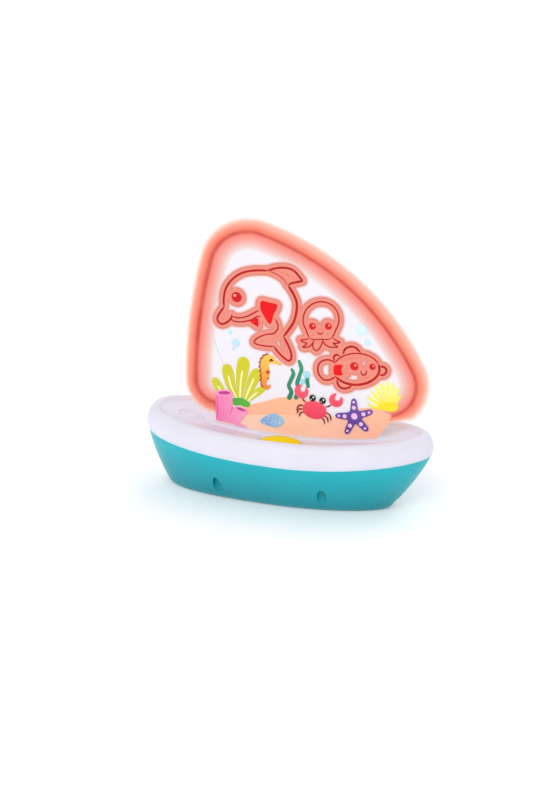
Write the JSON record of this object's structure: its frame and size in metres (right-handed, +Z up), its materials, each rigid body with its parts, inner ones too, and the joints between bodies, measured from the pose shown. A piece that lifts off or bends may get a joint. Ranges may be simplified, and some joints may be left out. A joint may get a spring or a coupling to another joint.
{
  "type": "light-up bath toy boat",
  "caption": "Floating toy boat with a two-part hull, a dished deck, a push button and an edge-lit clear sail with a glowing rim.",
  "frame": {"origin": "under the middle of the hull, on its flat bottom", "axes": "+X to the bow, +Y to port (the side away from the button), +Z up"},
  "size_m": [0.24, 0.094, 0.23],
  "materials": {
    "teal_shell": "glossy moulded teal ABS",
    "white_deck": "satin moulded white ABS with a faint lavender cast",
    "white_silicone": "soft matte silicone",
    "zinc_screws": "bright stainless pan heads",
    "clear_sail": "polished clear acrylic, edge lit",
    "glow_rim": "translucent silicone lit coral red from inside",
    "printed_film": "glossy printed film",
    "white_frame": "matte moulded plastic",
    "green_board": "green solder mask",
    "led_lens": "clear red resin",
    "black_parts": "matte black resin",
    "plunger_white": "matte nylon",
    "button_yellow": "glossy moulded yellow ABS",
    "spring_steel": "nickel-plated spring steel",
    "cell_wrap": "plain printed wrap on steel can",
    "black_rubber": "matte rubber",
    "ballast_steel": "sawn mild steel",
    "wire_insulation": "PVC insulation, red, black and white"
  },
  "bodies": {
    "hull": {"lower_hull": "teal_shell", "deck_shell": "white_deck", "hull_seal": "white_silicone", "slot_gasket": "white_silicone", "button_seal": "white_silicone", "hull_screws": "zinc_screws", "clamp_screws": "zinc_screws", "led_board_screws": "zinc_screws", "board_screws": "zinc_screws", "retainer_screws": "zinc_screws", "box_screws": "zinc_screws", "ballast_screws": "zinc_screws", "sail_panel": "clear_sail", "sail_rim": "glow_rim", "sea_bed_print": "printed_film", "sail_clamp_front": "white_frame", "sail_clamp_rear": "white_frame", "button_retainer": "white_frame", "battery_box": "white_frame", "led_board": "green_board", "control_board": "green_board", "leds": "led_lens", "board_components": "black_parts", "switch_body": "black_parts", "button_spring": "spring_steel", "battery_contacts": "spring_steel", "battery_springs": "spring_steel", "batteries": "cell_wrap", "ballast_weights": "ballast_steel", "battery_lead": "wire_insulation", "led_lead": "wire_insulation"},
    "button": {"button_cap": "button_yellow"},
    "plunger": {"switch_plunger": "plunger_white"},
    "door": {"battery_door": "teal_shell", "door_gasket": "black_rubber", "door_screws": "zinc_screws"}
  },
  "joints": [
    {"name": "button_press", "type": "slide", "parent": "hull", "child": "button", "axis": [0, 0, -1], "range_m": [0, 0.002], "stiffness_N_per_m": 500, "springref_m": -0.001, "deforming": ["button_spring"]},
    {"name": "plunger_press", "type": "slide", "parent": "hull", "child": "plunger", "axis": [0, 0, -1], "range_m": [0, 0.002]},
    {"name": "door_lift_off", "type": "slide", "parent": "hull", "child": "door", "axis": [0, 0, -1], "range_m": [0, 0.04]}
  ],
  "couplings": [
    {"joint": "plunger_press", "follows": "button_press", "ratio": 1}
  ]
}
